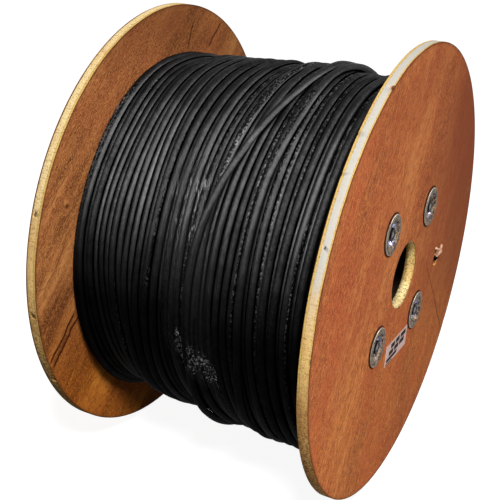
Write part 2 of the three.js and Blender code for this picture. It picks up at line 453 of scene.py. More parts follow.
def jacket_finish(name, tone, gloss, print_strength):
    """Black extruded sheath, dusty on its crests, with a faint print, and painted shade: near black
    and without gloss in the crevices between turns, and less glossy on the winding's low side and at
    its crest.
    """
    finish = Finish(name)
    here = finish.place()
    x, y, z = finish.split(finish.place(-DRUM_MIDDLE))
    length, across, _ = finish.split(finish.node("ShaderNodeUVMap", {}))
    smear = finish.noise(here, 3, 0.6, scale=70)
    grain = finish.noise(here, 3, 0.65, scale=1000)
    flecks = finish.noise(here, 3, 0.7, scale=520)
    drag = finish.noise((length * 12, across * 30, 0), 3, 0.6)
    handled = finish.noise((length * 1.9, 5.3, 0)).between(0.38, 0.6)
    dust = (smear * 0.2 + drag * 0.2 + grain * 0.3 + flecks * 0.3).between(0.44, 0.57)
    # Painted shade: ambient occlusion makes the sheath near black, and takes its gloss away, in the
    # crevices between turns.
    open_side = finish.node("ShaderNodeAmbientOcclusion", {"Distance": CREVICE_SHADE_REACH}, 1, samples=8)
    clear = open_side.between(0.75, 0.84)
    from_print = across + finish.noise((length * 0.6, 3.1, 0), 1) * 5
    off = abs(finish.math("FRACT", from_print) - 0.5)
    strokes = finish.noise((length * 620, across * 9, 7.7), 1)
    word = finish.noise((length * 3.5, 1.3, 0), 0) > 0.52
    printed = word * off.between(PRINT_HEIGHT, PRINT_HEIGHT * 0.7) * print_strength
    color = finish.coated(
        srgb(3, 3, 4),
        (clear * (0.6 + dust * 0.4), srgb(tone, tone, tone + 1)),
        (printed * strokes.between(0.56, 0.6), srgb(80, 80, 78)),
    )
    worn = clear * (0.2 + handled * 0.34 + dust * 0.46)
    # Painted shade: the gloss is taken away on the winding's low side, and in part at its crest.
    painted_shade_low_and_crest = z.between(0.065, 0.0) * 0.8 + z.between(0.136, 0.1435) * 0.3
    shine = worn * (1 - printed * strokes.between(0.54, 0.48)) * (1 - painted_shade_low_and_crest)
    relief = grain * 0.3 + flecks * 0.5 + drag * 0.5
    finish.surfaced(
        Base_Color=color,
        Roughness=0.4 + smear * 0.14 - handled * 0.08,
        Specular_IOR_Level=gloss,
        Normal=finish.bump(relief, 0.35, 0.15 * MM, flattened(finish, x, y, z, 0.45)),
    )
    # A black shader shown where the gloss is taken away: painted shade, and the dark print.
    painted_shade_and_ink = finish.node("ShaderNodeBsdfDiffuse", {"Color": srgb(2, 2, 2)})
    sheath = Value(finish, finish.surface.outputs["BSDF"])
    finish.show(finish.node("ShaderNodeMixShader", {0: shine, 1: painted_shade_and_ink, 2: sheath}))
    return finish.material


def core_finish():
    """Cream insulation on the cut conductors."""
    finish = Finish("conductor_insulation")
    shade = finish.noise(finish.place(), 3, 0.6, scale=500)
    color = finish.ramp(shade, (0.35, srgb(150, 104, 80)), (0.65, srgb(204, 168, 136)))
    return finish.surfaced(Base_Color=color, Roughness=0.5, Normal=finish.bump(shade, 0.3, 0.1 * MM))


def zinc_finish(name, darkest, lightest, shine, cup_dirt_and_shade, bloom):
    """Dulled zinc plating with a bluish bloom, blotchy dirt in the cups that painted shade darkens
    towards their floor, and a painted highlight round the lip.
    """
    finish = Finish(name)
    here = finish.place()
    x, _, _, radius, angle = from_axis(finish)
    # Round the outer lip the zinc is bare as if worn, with a paler colour that is a painted highlight.
    lip_wear_and_highlight = from_rods(finish, radius, angle).between(WASHER_RADIUS - 0.7 * MM, WASHER_RADIUS - 0.3 * MM)
    sunk = abs(x).between(OUTER_FACE + 0.6 * MM, OUTER_FACE - 2 * MM)
    # Painted shade: darker towards the cup's floor.
    deep = abs(x).between(OUTER_FACE - 3 * MM, OUTER_FACE - 4.4 * MM)
    blooms = finish.noise(here, 4, 0.65, scale=330)
    tint = finish.noise(here, scale=90)
    specks = finish.noise(here, 3, 0.65, scale=560)
    dirt_and_cup_shade = (blooms.between(0.52, 0.45) + deep).clipped() * cup_dirt_and_shade
    color = finish.coated(
        finish.ramp(blooms, (0.42, darkest), (0.57, lightest)),
        (tint.between(0.4, 0.55) * sunk * bloom, srgb(182, 186, 228)),
        (specks.between(0.5, 0.58) * 0.8, srgb(30, 20, 15)),
        (sunk * dirt_and_cup_shade, srgb(12, 9, 9)),
        (lip_wear_and_highlight * 0.4, srgb(206, 198, 184)),
    )
    bare = shine + (sunk + lip_wear_and_highlight) * (1 - shine) - specks.between(0.52, 0.62) * 0.4
    return finish.surfaced(
        Base_Color=color,
        Metallic=bare.clipped(),
        Specular_IOR_Level=0.15,
        Roughness=0.4 - sunk * 0.24 + blooms * 0.18,
        Normal=finish.bump(blooms, 0.4, 0.3 * MM),
    )


def thread_finish():
    """Steel rod with a rolled thread."""
    finish = Finish("threaded_steel")
    x, y, z = finish.split(finish.place())
    ridge = finish.math("PINGPONG", x, THREAD_PITCH / 2) / (THREAD_PITCH / 2)
    wear = finish.noise((x * 200, y * 900, z * 900))
    # Painted shade: the rod's tones are near black, darkest in the thread's grooves.
    color = finish.ramp(ridge + wear * 0.3, (0.3, srgb(16, 14, 14)), (0.9, srgb(72, 68, 64)))
    relief = finish.bump(ridge, 0.8, 0.4 * MM)
    return finish.surfaced(Base_Color=color, Metallic=0.95, Roughness=0.3, Normal=relief)


def board_finish():
    """Spiral-wound brown fibre board."""
    finish = Finish("fibre_board")
    x, y, z, _, angle = from_axis(finish)
    lap = finish.math("FRACT", x * 9 + angle / (2 * math.pi))
    fuzz = finish.noise((x * 300, y * 900, z * 900), 3, 0.6)
    color = finish.ramp(fuzz, (0.3, srgb(44, 34, 25)), (0.7, srgb(70, 55, 41)))
    color = finish.mix((1 - lap.between(0.0, 0.02)) * 0.6, color, srgb(28, 21, 15))
    return finish.surfaced(Base_Color=color, Roughness=0.85, Normal=finish.bump(fuzz, 0.4, 0.2 * MM))


def label_finish():
    """Off-white sticker with plain dark bars where a printer would set its lines."""
    finish = Finish("label_paper")
    move = (-OUTER_FACE, -LABEL_PLACE[0], -AXIS_Z - LABEL_PLACE[1])
    _, across, up = finish.split(finish.place(move, (-LABEL_TILT, 0, 0)))
    fibre = finish.noise(finish.place(), 3, 0.6, scale=700)
    color = finish.ramp(fibre, (0.3, srgb(182, 152, 144)), (0.7, srgb(206, 180, 172)))
    soft = 0.3 * MM
    for height, thick, low, high in LABEL_BARS:
        row = abs(up - height * MM).between(thick * 0.55 * MM, thick * 0.45 * MM)
        after = across.between(low * MM - soft, low * MM + soft)
        before = across.between(high * MM + soft, high * MM - soft)
        color = finish.mix(row * after * before, color, srgb(10, 6, 9))
    return finish.surfaced(
        Base_Color=color,
        Roughness=0.7,
        Specular_IOR_Level=0.1,
        Normal=finish.bump(fibre, 0.3, 0.1 * MM),
    )


def film_finish():
    """Clear film, seen only where it is wrinkled: in strokes at its top and in crumbs at its end,
    whose pale grey is a painted highlight.
    """
    finish = Finish("clear_film")
    here = finish.place()
    x, _, _, radius, angle = from_axis(finish)
    around = angle * radius
    degrees = angle * (180 / math.pi) + (angle < 0) * 360
    skewed = x - around * 0.22
    strokes = finish.noise((skewed * 560, around * 70, 2.2), 2, 0.5, 0.6)
    crumbs = finish.noise(here, 3, 0.7, scale=620)
    haze = finish.noise(here, scale=60)
    top = degrees.between(132, 142) * degrees.between(156, 148)
    top = top * x.between(-25 * MM, -19 * MM) * x.between(6 * MM, 2 * MM)
    slope = degrees - x * (0.4 / MM)
    low = slope.between(178, 182) * slope.between(191, 187.5) * degrees.between(199, 196)
    low = low * x.between(-10 * MM, -6 * MM) * x.between(28.5 * MM, 27 * MM)
    # The wrinkles are bumps; the pale grey that the strokes and crumbs show is a painted highlight.
    worn = top * strokes.between(0.6, 0.67) * haze.between(0.4, 0.54) * 0.75
    torn = low * crumbs.between(0.52, 0.66) * haze.between(0.3, 0.5) * 0.5
    return finish.surfaced(
        Base_Color=srgb(128, 128, 128),
        Roughness=0.2 + haze * 0.2,
        Specular_IOR_Level=0.3,
        Alpha=(worn + torn + 0.006).clipped(),
        Normal=finish.bump(crumbs, 0.9, 0.8 * MM),
    )


# Lines on the veneers, in millimetres from the axis: start, end, width and strength.
RIGHT_LINES = (
    ((61, -19), (79, -47), 1.3, 0.4),
    ((79, -47), (99, -77), 1.5, 0.45),
    ((99, -77), (124, -117), 1.7, 0.55),
    ((124, -117), (136, -138), 1.4, 0.5),
    ((-120, 60), (-98, 96), 0.6, 0.3),
    ((-60, -150), (-30, -108), 0.6, 0.3),
    ((20, 128), (58, 176), 0.6, 0.25),
)
LEFT_LINES = (
    ((-144, -22), (-182, -51), 1.9, 0.95),
    ((-140, -27), (-178, -57), 1.9, 0.95),
    ((-146, 42), (-178, 17), 0.8, 0.6),
    ((-152, 10), (-181, -12), 0.8, 0.55),
    ((-140, 98), (-162, 80), 0.8, 0.5),
    ((-136, -60), (-166, -84), 0.8, 0.5),
    ((-112, -124), (-130, -138), 0.7, 0.5),
    ((109, 152), (82, 136), 2.0, 0.75),
    ((58, 167), (47, 143), 1.1, 0.85),
    ((-137, -105), (-123, -99), 0.7, 0.8),
    ((-139, -101), (-127, -96), 0.6, 0.6),
)
# Where a stain crosses the right rim.
STAIN_ANGLE = 107.8

# Half of the print's height, as a share of the way round the cable.
PRINT_HEIGHT = 0.1
# How near another surface has to be for the painted shade in the crevices between turns to fall.
CREVICE_SHADE_REACH = 1.8 * MM

# Bars on the label in millimetres from its middle: height, thickness, left end, right end.
LABEL_BARS = (
    (5.2, 4.6, -14, -4), (5.2, 4.6, -2, 8), (5.2, 4.6, 10, 23),
    (-0.4, 4.6, -18, -7), (-0.4, 4.6, -5, 6), (-0.4, 4.6, 8, 20),
    (-5.4, 3.4, -23, 3), (-8.6, 1.2, -24, -8),
)

# Darker parts of the veneers: a line between two places, its reach, and how strong it is. The first
# right one, broad over that board's far side, is painted shade.
RIGHT_SHADES = (
    ((150, 110), (170, -60), 130, 0.8),
    ((60, 60), (70, -60), 60, 0.35),
    ((-70, 150), (60, 170), 50, 0.3),
)
LEFT_SHADES = (
    ((40, 175), (150, 110), 70, 0.4),
    ((-160, -10), (-140, -80), 55, 0.3),
    ((-60, 178), (20, 180), 45, 0.4),
)

# Each board's light, middle, dark and red tones, and what its low side is tinted with: on the right a
# painted light, on the left a warmer colour with painted light in its red.
LIGHT_TONES = (srgb(206, 132, 78), srgb(169, 97, 57), srgb(122, 62, 40), srgb(160, 76, 48))
INNER_TONES = (srgb(210, 146, 86), srgb(174, 109, 61), srgb(104, 58, 34), srgb(148, 82, 50))
RIGHT_LOW_PAINTED_LIGHT = (1.1, 1.14, 1.0, 1)
LEFT_LOW_TINT_AND_LIGHT = (1.14, 0.95, 0.45, 1)

VENEER_RIGHT = veneer_finish(
    "veneer_right", grain_angle=52, tones=LIGHT_TONES, shift=0.0, streaks=0.14,
    lines=RIGHT_LINES, shades=RIGHT_SHADES, low_tint_and_painted_light=RIGHT_LOW_PAINTED_LIGHT,
)
VENEER_LEFT = veneer_finish(
    "veneer_left", grain_angle=36, tones=INNER_TONES, shift=0.7, streaks=0.38,
    lines=LEFT_LINES, shades=LEFT_SHADES, low_tint_and_painted_light=LEFT_LOW_TINT_AND_LIGHT, knots=((-141, 73, 2.2),),
)
PLY_EDGE = ply_edge_finish()
JACKET = jacket_finish("cable_jacket", tone=7, gloss=0.08, print_strength=0.8)
# Lit and shaded copies of the sheath: the under turns get more gloss as painted light, and the deep
# turns a darker tone and less gloss as painted shade.
LIT_UNDER_JACKET = jacket_finish("cable_jacket_under_lit", tone=7, gloss=0.12, print_strength=0.8)
SHADED_DEEP_JACKET = jacket_finish("cable_jacket_deep_shaded", tone=5, gloss=0.03, print_strength=0)
CORE = core_finish()
ZINC = zinc_finish(
    "zinc_steel", srgb(38, 26, 20), srgb(150, 126, 100), shine=0.2, cup_dirt_and_shade=0.9, bloom=0.8)
# The nuts' near-black tones are painted shade for the cups they sit in.
NUT_STEEL = zinc_finish(
    "nut_steel", srgb(4, 4, 4), srgb(24, 22, 22), shine=0.9, cup_dirt_and_shade=0.6, bloom=0.1)
THREAD = thread_finish()
BOARD = board_finish()
LABEL = label_finish()
FILM = film_finish()


# -------------------- shaping helpers

def on_circle(radius, degrees, x=0.0):
    """A place at a radius and angle about the drum's axis."""
    angle = math.radians(degrees)
    return Vector((x, radius * math.cos(angle), AXIS_Z + radius * math.sin(angle)))


def axle(radius, degrees, x=0.0):
    """The matrix that lays a shape's own Z along the drum, at a radius and angle."""
    return Matrix.Translation(on_circle(radius, degrees, x)) @ Matrix.Rotation(math.pi / 2, 4, "Y")


def new_piece(name, mesh, *materials):
    piece = bpy.data.objects.new(name, mesh)
    bpy.context.scene.collection.objects.link(piece)
    for material in materials:
        mesh.materials.append(material)
    return piece


def mesh_from(shape, name):
    mesh = bpy.data.meshes.new(name)
    shape.to_mesh(mesh)
    shape.free()
    return mesh


def evaluated_mesh(piece):
    graph = bpy.context.evaluated_depsgraph_get()
    return bpy.data.meshes.new_from_object(piece.evaluated_get(graph))


def modify(piece, kind, **settings):
    """Shapes a piece with a modifier, which is taken into its mesh at once."""
    modifier = piece.modifiers.new(kind.lower(), kind)
    for setting, value in settings.items():
        setattr(modifier, setting, value)
    mesh = evaluated_mesh(piece)
    piece.modifiers.clear()
    piece.data = mesh


def cut_out(piece, cutter, crossing=False):
    """Takes one piece's shape out of another; crossing is for a cutter made of several shapes."""
    modify(piece, "BOOLEAN", object=cutter, solver="EXACT", use_self=crossing)
    bpy.data.objects.remove(cutter)


def cylinder(shape, radius, length, segments, matrix, far_radius=None):
    """A capped cylinder along the matrix's own Z and centred on it, or a cone to a far radius."""
    bmesh.ops.create_cone(
        shape, cap_ends=True, cap_tris=False, segments=segments,
        radius1=radius, radius2=far_radius or radius, depth=length, matrix=matrix,
    )


def bevel_ends(shape, width):
    """Rounds the edges round both ends of a disc or a rod."""
    ends = [edge for edge in shape.edges if abs(edge.calc_face_angle()) > 1]
    bmesh.ops.bevel(
        shape, geom=ends, offset=width, offset_type="OFFSET", affect="EDGES",
        segments=2, profile=0.5, material=-1,
    )


def smooth_sides(piece):
    """Shades the faces round a disc or a rod smooth, and leaves its ends flat."""
    for face in piece.data.polygons:
        face.use_smooth = abs(face.normal.x) < 0.9


def spin_profile(shape, profile, segments):
    """Spins a line of (radius, x) points fully about the X axis."""
    verts = [shape.verts.new((x, radius, 0)) for radius, x in profile]
    edges = [shape.edges.new(pair) for pair in zip(verts, verts[1:])]
    bmesh.ops.spin(
        shape, geom=verts + edges, cent=(0, 0, 0), axis=(1, 0, 0), dvec=(0, 0, 0),
        angle=2 * math.pi, steps=segments, use_merge=True, use_duplicate=False,
    )
    bmesh.ops.remove_doubles(shape, verts=shape.verts, dist=1e-6)
    bmesh.ops.recalc_face_normals(shape, faces=shape.faces)


SLOTTED = {"plywood": [], "zinc_steel": [], "cable_jacket": []}


def ride_root(piece, slot, node):
    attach(piece, "root")
    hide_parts(node)
    SLOTTED[slot].append(piece)


# -------------------- flanges

SIDE_NAMES = {-1: "left", 1: "right"}
# How far a washer's seat is wider than its cup.
SEAT_CLEARANCE = 0.6 * MM


def washer_line():
    """The middle of a cup washer's sheet, as (radius, height over the flange's outer face)."""
    rim_height = WASHER_SEAT_GAP + WASHER_SHEET / 2
    floor_height = rim_height - CUP_DEPTH
    return [
        (ROD_RADIUS + WASHER_HOLE_PLAY, floor_height),
        (CUP_FLOOR_RADIUS, floor_height),
        (CUP_FLOOR_RADIUS + CUP_SLOPE_WIDTH, rim_height),
        (WASHER_RADIUS - WASHER_LIP, rim_height),
        (WASHER_RADIUS, rim_height),
    ]


# Nicks in the rims: the side, x across the rim from its middle, degrees, length, width and depth.
NICKS = (
    (1, 3.8, STAIN_ANGLE, 7, 2.4, 1.2),
    (1, -4.3, 122.4, 3, 1.2, 0.7),
    (1, -4.4, 132.0, 4, 1.2, 0.7),
    (1, -0.5, 147.4, 3, 1.8, 0.7),
    (1, 4.3, 171.0, 6, 1.6, 0.8),
    (1, -4.2, 236.0, 7, 2.0, 1.2),
    (1, 4.2, 318.0, 8, 2.2, 1.2),
    (-1, -4.4, 80.7, 6, 2.0, 1.4),
    (-1, -0.8, 155.5, 4, 2.0, 1.1),
    (-1, 0.2, 180.5, 4, 2.2, 1.1),
    (-1, 4.0, 201.3, 5, 2.0, 1.2),
    (-1, -4.2, 20.0, 7, 2.0, 1.0),
)


def flange_cutters(side):
    """The spindle bore, the rod holes with the washers' seats, the start hole and the nicks."""
    shape = bmesh.new()
    middle = side * FLANGE_MIDDLE
    length = 4 * FLANGE_THICKNESS
    cylinder(shape, SPINDLE_BORE_RADIUS, length, 128, axle(0, 0, middle))
    if side > 0:
        start_hole = axle(START_HOLE_REACH, START_HOLE_ANGLE, middle)
        cylinder(shape, START_HOLE_RADIUS, length, 48, start_hole)
    deep = -CUP_DEPTH - (WASHER_SHEET + WASHER_SEAT_GAP) / 2
    mouth = 2 * MM
    low = CUP_FLOOR_RADIUS + SEAT_CLEARANCE
    high = low + CUP_SLOPE_WIDTH / CUP_DEPTH * (mouth - deep)
    near, far = (low, high) if side > 0 else (high, low)
    for angle in ROD_ANGLES:
        hole = axle(ROD_CIRCLE_RADIUS, angle, middle)
        cylinder(shape, ROD_RADIUS + ROD_PLAY, length, 32, hole)
        seat = axle(ROD_CIRCLE_RADIUS, angle, side * (OUTER_FACE + (mouth + deep) / 2))
        cylinder(shape, near, mouth - deep, 64, seat, far)
    for nick_side, x, degrees, *size in NICKS:
        if nick_side == side:
            place = Matrix.Translation(on_circle(FLANGE_RADIUS, degrees, middle + x * MM))
            spin = Matrix.Rotation(math.radians(degrees), 4, "X")
            length, width, depth = (value * MM for value in size)
            scale = Matrix.Diagonal((width, depth * 2, length, 1))
            bmesh.ops.create_icosphere(shape, subdivisions=2, radius=0.5, matrix=place @ spin @ scale)
    return new_piece("cutters", mesh_from(shape, "cutters"))


def make_flange(side, veneer):
    name = f"flange_{SIDE_NAMES[side]}"
    shape = bmesh.new()
    place = axle(0, 0, side * FLANGE_MIDDLE)
    cylinder(shape, FLANGE_RADIUS, FLANGE_THICKNESS, RIM_SEGMENTS, place)
    bevel_ends(shape, RIM_CHAMFER)
    piece = new_piece(name, mesh_from(shape, name), veneer, PLY_EDGE)
    cut_out(piece, flange_cutters(side), crossing=True)
    smooth_sides(piece)
    for face in piece.data.polygons:
        face.material_index = 1 if face.use_smooth else 0
    ride_root(piece, "plywood", name)
    return piece


# -------------------- rods, nuts and washers

def make_washer(side, number, angle):
    name = f"cup_washer_{SIDE_NAMES[side]}_{number}"
    shape = bmesh.new()
    spin_profile(shape, washer_line(), 96)
    turn = Matrix.Identity(4) if side > 0 else Matrix.Rotation(math.pi, 4, "Z")
    place = Matrix.Translation(on_circle(ROD_CIRCLE_RADIUS, angle, side * OUTER_FACE))
    bmesh.ops.transform(shape, matrix=place @ turn, verts=shape.verts)
    piece = new_piece(name, mesh_from(shape, name), ZINC)
    modify(piece, "SOLIDIFY", thickness=WASHER_SHEET, offset=0, use_even_offset=True)
    modify(piece, "BEVEL", width=WASHER_EDGE, segments=3, limit_method="ANGLE")
    piece.data.shade_smooth()
    ride_root(piece, "zinc_steel", name)


def make_nut(side, number, angle):
    name = f"nut_{SIDE_NAMES[side]}_{number}"
    floor_height = washer_line()[0][1] + WASHER_SHEET / 2 + WASHER_SEAT_GAP
    middle = side * (OUTER_FACE + floor_height + NUT_HEIGHT / 2)
    place = axle(ROD_CIRCLE_RADIUS, angle, middle)
    spin = Matrix.Rotation(math.radians(NUT_TURN * number), 4, "Z")
    shape = bmesh.new()
    cylinder(shape, NUT_ACROSS_FLATS / math.sqrt(3), NUT_HEIGHT, 6, place @ spin)
    piece = new_piece(name, mesh_from(shape, name), NUT_STEEL)
    hole = bmesh.new()
    cylinder(hole, ROD_RADIUS + NUT_HOLE_PLAY, 2 * NUT_HEIGHT, 32, place)
    cut_out(piece, new_piece("cutter", mesh_from(hole, "cutter")))
    modify(piece, "BEVEL", width=NUT_EDGE, segments=2, limit_method="ANGLE")
    ride_root(piece, "zinc_steel", name)


def make_rod(number, angle):
    name = f"tie_rod_{number}"
    low, high = (Vector(corner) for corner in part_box(name))
    shape = bmesh.new()
    cylinder(shape, ROD_RADIUS, high.x - low.x, 32, axle(ROD_CIRCLE_RADIUS, angle))
    bevel_ends(shape, ROD_CHAMFER)
    piece = new_piece(name, mesh_from(shape, name), THREAD)
    smooth_sides(piece)
    ride_root(piece, "zinc_steel", name)


# -------------------- winding

STEPS = 180  # to a turn
TURN_SIDES = 14
FLANGE_CLEARANCE = 0.2 * MM
TURN_LIMIT = INNER_FACE - CABLE_RADIUS - FLANGE_CLEARANCE
START_TURN = 285  # degrees round the drum, where the helixes start
BARREL_CLEAR_RADIUS = 86 * MM
GROOVE_STEPS = 6  # to a turn, in the section of the deep turns
# How far an outer turn stands over the two turns that it is pressed in between.
NEST_RISE = 0.4 * CABLE_DIAMETER
# How far a layer's turns stray sideways together, over what length, and how near to a flange
# they stop straying.
STRAY = 5 * MM
STRAY_LENGTH = 38 * MM
STRAY_FADE = 24 * MM
# How deep the ends of a run dip under its neighbours, and over how many steps.
TUCK_DEPTH = 9 * MM
TUCK_STEPS = 22

# How far the winding's surface stands over WINDING_RADIUS: degrees round the drum, and a row of
# heights in millimetres at seven places from the left flange to the right one.
SWELLS = (
    (-30, (-7, -5, -3, 0, 0, 0, -5.5)),
    (80, (-8, -6.5, -3, -1, 0.8, 1.2, -5.5)),
    (104, (-4.5, -4.5, -3, -0.3, -0.2, 0.3, -5.5)),
    (150, (-7, -4.5, -3, 0.5, 0.5, 1, -5.5)),
    (227, (-4.5, -9.5, -4.2, -3.2, 3, 3, -4.5)),
    (330, (-7, -5, -3, 0, 0, 0, -5.5)),
)
# Where the two runs that are laid last lie: degrees round the drum, and x in millimetres.
LAST_TURNS = (
    ((285, 50), (430, 50), (470, 48), (600, 47)),
    ((610, 47), (700, 47), (780, 44), (800, 42), (820, 34.5), (824, 33), (840, 22.5),
     (850, 17.8), (860, 12), (873, 7), (890, 4), (930, 2.5), (1000, 2)),
)
# How far the turns near the crossing lean: degrees round the drum, and a row of one distance.
CROSSING_LEAN = (
    (-30, (0,)), (104, (0,)), (150, (-6 * MM,)), (225, (-5 * MM,)), (330, (0,)),
)
CROSSING_X = 18 * MM
CROSSING_REACH = 17 * MM


def wobble(place, seed):
    """Smooth noise between about -1 and 1 along one line."""
    return 1.6 * noise.noise(Vector((place, seed * 7.31, seed * 1.77)))


def eased(share):
    share = min(max(share, 0), 1)
    return share * share * (3 - 2 * share)


def eased_row(table, degrees):
    """A table's row of values at an angle, eased from one of its places to the next."""
    start = table[0][0]
    degrees = (degrees - start) % 360 + start
    for (low, before), (high, after) in zip(table, table[1:]):
        if degrees <= high:
            share = eased((degrees - low) / (high - low))
            return [a * (1 - share) + b * share for a, b in zip(before, after)]


def crest_radius(x, degrees):
    """The winding's outer surface at a place along the drum and round it."""
    rises = eased_row(SWELLS, degrees)
    share = (x / TURN_LIMIT + 1) / 2 * (len(rises) - 1)
    share = min(max(share, 0), len(rises) - 1.001)
    index = int(share)
    along = (1 - math.cos(math.pi * (share - index))) / 2
    return WINDING_RADIUS + (rises[index] * (1 - along) + rises[index + 1] * along) * MM


def bed_radius(x, degrees):
    """The middle of the under turns."""
    return crest_radius(x, degrees) - CABLE_RADIUS - NEST_RISE


def lean(x, degrees, seed):
    """How far a layer's turns stray sideways, alike for turns that lie side by side."""
    angle = math.radians(degrees)
    place = Vector((x / STRAY_LENGTH + seed * 5.3, 1.1 * math.cos(angle), 1.1 * math.sin(angle)))
    hold = eased((TURN_LIMIT - abs(x)) / STRAY_FADE)
    near = eased(1 - abs(x - CROSSING_X) / CROSSING_REACH)
    return STRAY * noise.noise(place) * hold + eased_row(CROSSING_LEAN, degrees)[0] * near


def layer_places(pitch, looseness, seed):
    """Where a layer's helix lies along the drum, step by step, from one flange to the other.

    Each turn lies beside the last with a gap that opens and closes, and the gaps are held to
    the layer's mean pitch, so that the last turn ends where it should all the way round.
    """
    places = []
    while len(places) < STEPS or places[-STEPS] < TURN_LIMIT - 0.1 * MM:
        turns = len(places) / STEPS
        if turns < 1:
            x = -TURN_LIMIT + CABLE_DIAMETER * eased(turns) * 0.9
        else:
            last = places[len(places) - STEPS]
            steady = -TURN_LIMIT + CABLE_DIAMETER * pitch * turns
            late = (steady - last) / CABLE_DIAMETER - pitch
            gap = looseness * wobble(turns * 1.07, seed) + 0.5 * late
            x = last + CABLE_DIAMETER * (pitch + min(max(gap, 1 - pitch), 0.5))
        places.append(min(x, TURN_LIMIT))
    return places


def strayed(places, first_degrees, seed):
    """A run's places, with its turns leaning as their neighbours do."""
    led = [x + lean(x, first_degrees + i * 360 / STEPS, seed) for i, x in enumerate(places)]
    return [min(max(x, -TURN_LIMIT), TURN_LIMIT) for x in led]


def neighbours(values, reach):
    """A run's values, shifted by each number of steps out to a reach either way."""
    wide = np.pad(values, reach, mode="edge")
    return np.array([wide[k:k + len(values)] for k in range(2 * reach + 1)])


def evened(values, reach):
    """The running mean of a run's values."""
    return np.mean(neighbours(values, reach), axis=0)


def routed_places(route):
    """Where a run that follows listed points lies, from its (degrees, x in millimetres) points."""
    places = []
    steps = int((route[-1][0] - route[0][0]) * STEPS / 360)
    leg = 0
    for i in range(steps + 1):
        degrees = route[0][0] + i * 360 / STEPS
        while leg < len(route) - 2 and degrees > route[leg + 1][0]:
            leg += 1
        (low, from_x), (high, to_x) = route[leg], route[leg + 1]
        places.append((from_x + (to_x - from_x) * (degrees - low) / (high - low)) * MM)
    return evened(places, 4)


class Laid:
    """The turns laid so far, kept by angle, so that the next ones rest on them."""

    def __init__(self):
        self.slices = [[] for _ in range(STEPS)]

    def touching(self, x, slot, reach, near):
        """How far out a circle is over each turn that is near a place; reach is its radius."""
        gaps = [(abs(x - turn_x), radius) for turn_x, radius in self.slices[slot]]
        return [
            radius + math.sqrt(reach ** 2 - min(gap, reach) ** 2)
            for gap, radius in gaps if gap < near
        ]

    def settled(self, places, first_degrees):
        """A run's places, drawn towards the valleys between the turns under them."""
        first_slot = int(first_degrees * STEPS / 360)
        drawn = []
        for i, x in enumerate(places):
            under = sorted(other for other, _ in self.slices[(first_slot + i) % STEPS])
            valleys = [(low + high) / 2 for low, high in zip(under, under[1:])]
            drawn.append(x + 0.8 * (min(valleys, key=lambda valley: abs(valley - x)) - x))
        return evened(drawn, 5)

    def lay(self, places, first_degrees, ripple):
        """The radius of each step of a run of turns laid over the earlier ones."""
        first_slot = int(first_degrees * STEPS / 360)
        low = []
        for i, x in enumerate(places):
            slot = (first_slot + i) % STEPS
            floor = bed_radius(x, first_degrees + i * 360 / STEPS)
            floor += ripple * wobble(i / STEPS * 2.3, 9) * MM
            radius = max([floor] + self.touching(x, slot, CABLE_DIAMETER, CABLE_DIAMETER))
            self.slices[slot].append((x, radius))
            low.append(radius)
        radii = evened(np.max(neighbours(low, 1), axis=0), 4)
        for i in range(min(TUCK_STEPS, len(radii))):
            tuck = TUCK_DEPTH * (1 - eased(i / TUCK_STEPS))
            radii[i] -= tuck
            radii[-1 - i] -= tuck
        return radii

    def surface(self, x, slot):
        """The highest point of the laid turns at one place, or the crest between them."""
        tops = self.touching(x, slot, CABLE_RADIUS, 1.3 * CABLE_RADIUS)
        return max(tops, default=crest_radius(x, slot * 360 / STEPS) - CABLE_RADIUS)


def tube(name, points, radius, sides, material):
    """A round tube through points, with its texture's length in metres."""
    curve = bpy.data.curves.new(name, "CURVE")
    curve.dimensions = "3D"
    curve.bevel_depth = radius
    curve.bevel_resolution = (sides - 4) // 2
    curve.use_fill_caps = True
    spline = curve.splines.new("POLY")
    spline.points.add(len(points) - 1)
    for place, point in zip(spline.points, points):
        place.co = (*point, 1)
    holder = bpy.data.objects.new(name + "_path", curve)
    bpy.context.scene.collection.objects.link(holder)
    mesh = evaluated_mesh(holder)
    bpy.data.objects.remove(holder)
    mesh.materials.clear()
    length = sum((b - a).length for a, b in zip(points, points[1:]))
    for corner in mesh.uv_layers[0].uv:
        corner.vector.x *= length
    return new_piece(name, mesh, material)


def make_run(laid, name, places, first_degrees, material, ripple=0.0):
    """One run of cable, laid over what is there, as a tube through its steps."""
    radii = laid.lay(places, first_degrees, ripple)
    points = [
        on_circle(radius, first_degrees + 360 * i / STEPS, x)
        for i, (x, radius) in enumerate(zip(places, radii))
    ]
    piece = tube(name, points, CABLE_RADIUS, TURN_SIDES, material)
    ride_root(piece, "cable_jacket", "cable_winding")


def make_deep_turns():
    """The turns under the ones that show: a ring with grooves between turns, out to both flanges."""
    steps = int(2 * INNER_FACE / CABLE_DIAMETER) * GROOVE_STEPS
    reach = INNER_FACE - FLANGE_CLEARANCE
    profile = [(BARREL_CLEAR_RADIUS, -reach)]
    for i in range(steps + 1):
        groove = CABLE_RADIUS * (1 - math.sqrt(abs(math.sin(math.pi * i / GROOVE_STEPS))))
        profile.append((WINDING_RADIUS - groove, reach * (2 * i / steps - 1)))
    profile.append((BARREL_CLEAR_RADIUS, reach))
    shape = bmesh.new()
    spin_profile(shape, profile + profile[:1], 120)
    for vert in shape.verts:
        radius = math.hypot(vert.co.y, vert.co.z)
        degrees = math.degrees(math.atan2(vert.co.z, vert.co.y))
        if radius > BARREL_CLEAR_RADIUS + 1 * MM:
            bed = bed_radius(vert.co.x, degrees) - CABLE_RADIUS / 2
            vert.co.yz *= (radius - WINDING_RADIUS + bed) / radius
    bmesh.ops.translate(shape, verts=shape.verts, vec=DRUM_MIDDLE)
    piece = new_piece("cable_deep_turns", mesh_from(shape, "cable_deep_turns"), SHADED_DEEP_JACKET)
    piece.data.shade_smooth()
    ride_root(piece, "cable_jacket", "cable_winding")


